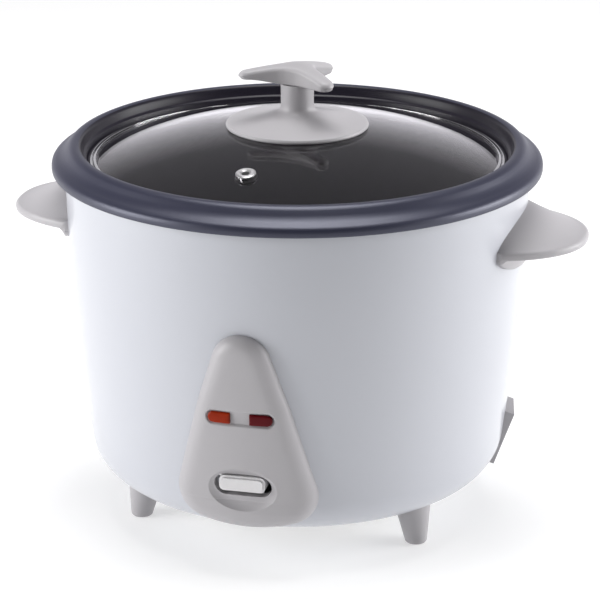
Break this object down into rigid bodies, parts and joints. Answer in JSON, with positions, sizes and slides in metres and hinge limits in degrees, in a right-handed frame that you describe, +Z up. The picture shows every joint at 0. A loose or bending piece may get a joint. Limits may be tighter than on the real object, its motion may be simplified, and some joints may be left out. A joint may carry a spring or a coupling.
{
  "type": "rice cooker",
  "caption": "Round electric rice cooker with a lift-out nonstick pot, domed glass lid with a three-armed knob, side handles, cook lever and power inlet.",
  "frame": {"origin": "on the vertical axis of the pot, in the plane of the feet's undersides", "axes": "+Z up; -Y is the front, where the control panel is; +X is to the right seen from the front, with a handle at each end of X"},
  "size_m": [0.312, 0.26, 0.246],
  "materials": {
    "white_enamel": "gloss",
    "grey_plastic": "satin",
    "white_plastic": "satin",
    "orange_lens": "gloss",
    "red_lens": "gloss",
    "steel": "satin",
    "chrome": "polished",
    "slate_nonstick": "satin metallic",
    "glass": "clear",
    "aluminium": "cast satin",
    "magnet": "matte",
    "silicone": "matte",
    "phenolic": "matte",
    "nylon": "matte",
    "copper": "satin",
    "lamp_glass": "gloss",
    "brown_insulation": "matte",
    "blue_insulation": "matte",
    "green_insulation": "matte",
    "glass_sleeve": "woven"
  },
  "bodies": {
    "housing": {"outer_body": "white_enamel", "bottom_plate": "steel", "bottom_plate_screws": "steel", "foot_front_left": "grey_plastic", "foot_front_right": "grey_plastic", "foot_rear": "grey_plastic", "foot_screws": "steel", "handle_left": "grey_plastic", "handle_right": "grey_plastic", "handle_screws": "steel", "control_panel": "grey_plastic", "panel_screws": "steel", "keep_warm_lens": "orange_lens", "cook_lens": "red_lens", "lamp_holder": "nylon", "neon_lamps": "lamp_glass", "inlet_housing": "grey_plastic", "inlet_pins": "steel", "inner_liner": "aluminium", "heating_plate": "aluminium", "heater_element": "steel", "heater_terminals": "steel", "support_legs": "steel", "heating_plate_screws": "steel", "thermostat_tube": "steel", "lever_bracket": "steel", "lever_pin": "steel", "switch_base": "phenolic", "fixed_contact": "copper", "keep_warm_thermostat": "steel", "thermal_fuse": "glass_sleeve", "terminal_block": "nylon", "live_lead": "brown_insulation", "neutral_lead": "blue_insulation", "earth_lead": "green_insulation", "heater_leads": "glass_sleeve", "sensor_spring": "steel", "plunger_spring": "steel"},
    "pot": {"inner_pot": "slate_nonstick"},
    "lid": {"lid_glass": "glass", "lid_rim": "steel", "vent_eyelet": "chrome", "vent_seal": "silicone", "knob_base": "grey_plastic", "knob_grip": "grey_plastic", "knob_screw": "steel", "knob_washer": "silicone"},
    "lever": {"lever_arm": "steel", "lever_paddle": "white_plastic"},
    "plunger": {"plunger_rod": "steel", "plunger_magnet": "magnet"},
    "sensor": {"sensor_cap": "aluminium", "sensor_magnet": "magnet"},
    "leaf": {"contact_leaf": "copper"}
  },
  "joints": [
    {"name": "pot_lift", "type": "slide", "parent": "housing", "child": "pot", "axis": [0, 0, 1], "range_m": [0, 0.2]},
    {"name": "lid_lift", "type": "slide", "parent": "pot", "child": "lid", "axis": [0, 0, 1], "range_m": [0, 0.15]},
    {"name": "lever_press", "type": "hinge", "parent": "housing", "child": "lever", "pos_m": [0, -0.078, 0.05], "axis": [1, 0, 0], "range_deg": [0, 4.36], "stiffness_Nm_per_rad": 0.2, "springref_deg": -8.59},
    {"name": "plunger_lift", "type": "slide", "parent": "housing", "child": "plunger", "axis": [0, 0, 1], "range_m": [0, 0.00594], "deforming": ["plunger_spring"]},
    {"name": "leaf_close", "type": "hinge", "parent": "housing", "child": "leaf", "pos_m": [0.017, -0.06, 0.0383], "axis": [1, 0, 0], "range_deg": [0, 7.1]},
    {"name": "sensor_press", "type": "slide", "parent": "housing", "child": "sensor", "axis": [0, 0, 1], "range_m": [-0.0015, 0], "stiffness_N_per_m": 800, "springref_m": 0.001, "deforming": ["sensor_spring"]}
  ],
  "couplings": [
    {"joint": "plunger_lift", "follows": "lever_press", "m_per_rad": 0.078},
    {"joint": "leaf_close", "follows": "lever_press", "ratio": 1.62}
  ]
}
